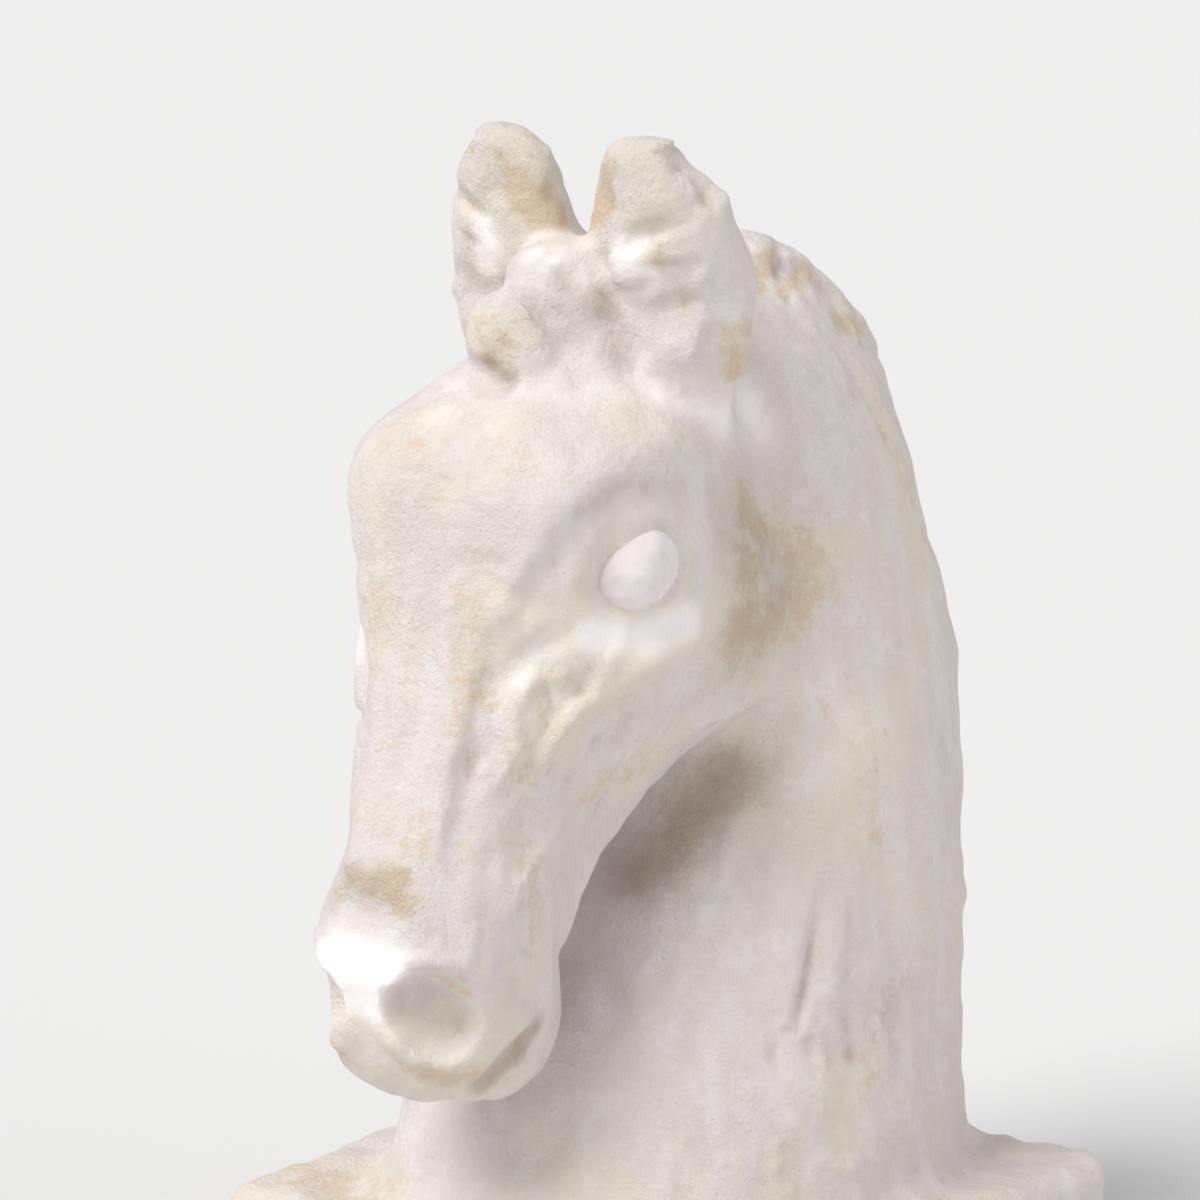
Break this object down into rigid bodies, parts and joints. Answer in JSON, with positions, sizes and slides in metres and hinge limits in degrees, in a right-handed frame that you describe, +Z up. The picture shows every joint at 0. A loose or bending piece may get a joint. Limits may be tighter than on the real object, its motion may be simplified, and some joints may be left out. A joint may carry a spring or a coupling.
{
  "type": "giant chess knight",
  "caption": "Weathered white horse-head chess piece for a lawn board: hollow cast bust on a square plinth, steel armature inside, screwed base board and a threaded filler plug at the rear.",
  "frame": {"origin": "middle of the square underside, at the ground", "axes": "+Z up, the muzzle points to -Y, the horse's left side is +X"},
  "size_m": [0.33, 0.4422, 0.635],
  "materials": {
    "whitewash": "matte, chalky",
    "smooth_whitewash": "matte, rubbed smooth",
    "glass_mat": "resin-bonded",
    "mortar": "rough",
    "black_steel": "satin",
    "stainless": "brushed",
    "zinc_steel": "zinc plated",
    "brass": "plain",
    "plywood": "sealed",
    "pine": "sawn",
    "black_rubber": "matte",
    "sand": "loose",
    "black_plastic": "moulded"
  },
  "bodies": {
    "knight": {"left_shell": "whitewash", "right_shell": "whitewash", "plinth": "whitewash", "left_ear": "whitewash", "right_ear": "whitewash", "forelock": "whitewash", "mane": "whitewash", "left_eye": "smooth_whitewash", "right_eye": "smooth_whitewash", "seam_strip": "glass_mat", "head_mortar": "mortar", "armature_post": "black_steel", "armature_arm": "black_steel", "post_flange": "black_steel", "flange_gussets": "black_steel", "ear_dowels": "stainless", "forelock_dowel": "stainless", "flange_bolts": "zinc_steel", "flange_washers": "zinc_steel", "flange_nuts": "zinc_steel", "neck_bolts": "zinc_steel", "neck_washers": "zinc_steel", "foot_inserts": "brass", "board_screws": "zinc_steel", "base_board": "plywood", "corner_blocks": "pine", "rim_ring": "black_rubber", "sand_ballast": "sand", "plug_socket": "black_plastic"},
    "seal": {"plug_seal": "black_rubber"},
    "plug": {"filler_plug": "black_plastic"}
  },
  "joints": [
    {"name": "plug_travel", "type": "slide", "parent": "knight", "child": "seal", "axis": [0, 1, 0], "range_m": [0, 0.012]},
    {"name": "plug_turn", "type": "hinge", "parent": "seal", "child": "plug", "pos_m": [0, 0.16, 0.047], "axis": [0, 1, 0], "range_deg": [0, 720]}
  ],
  "couplings": [
    {"joint": "plug_travel", "follows": "plug_turn", "m_per_rad": 0.000954}
  ]
}
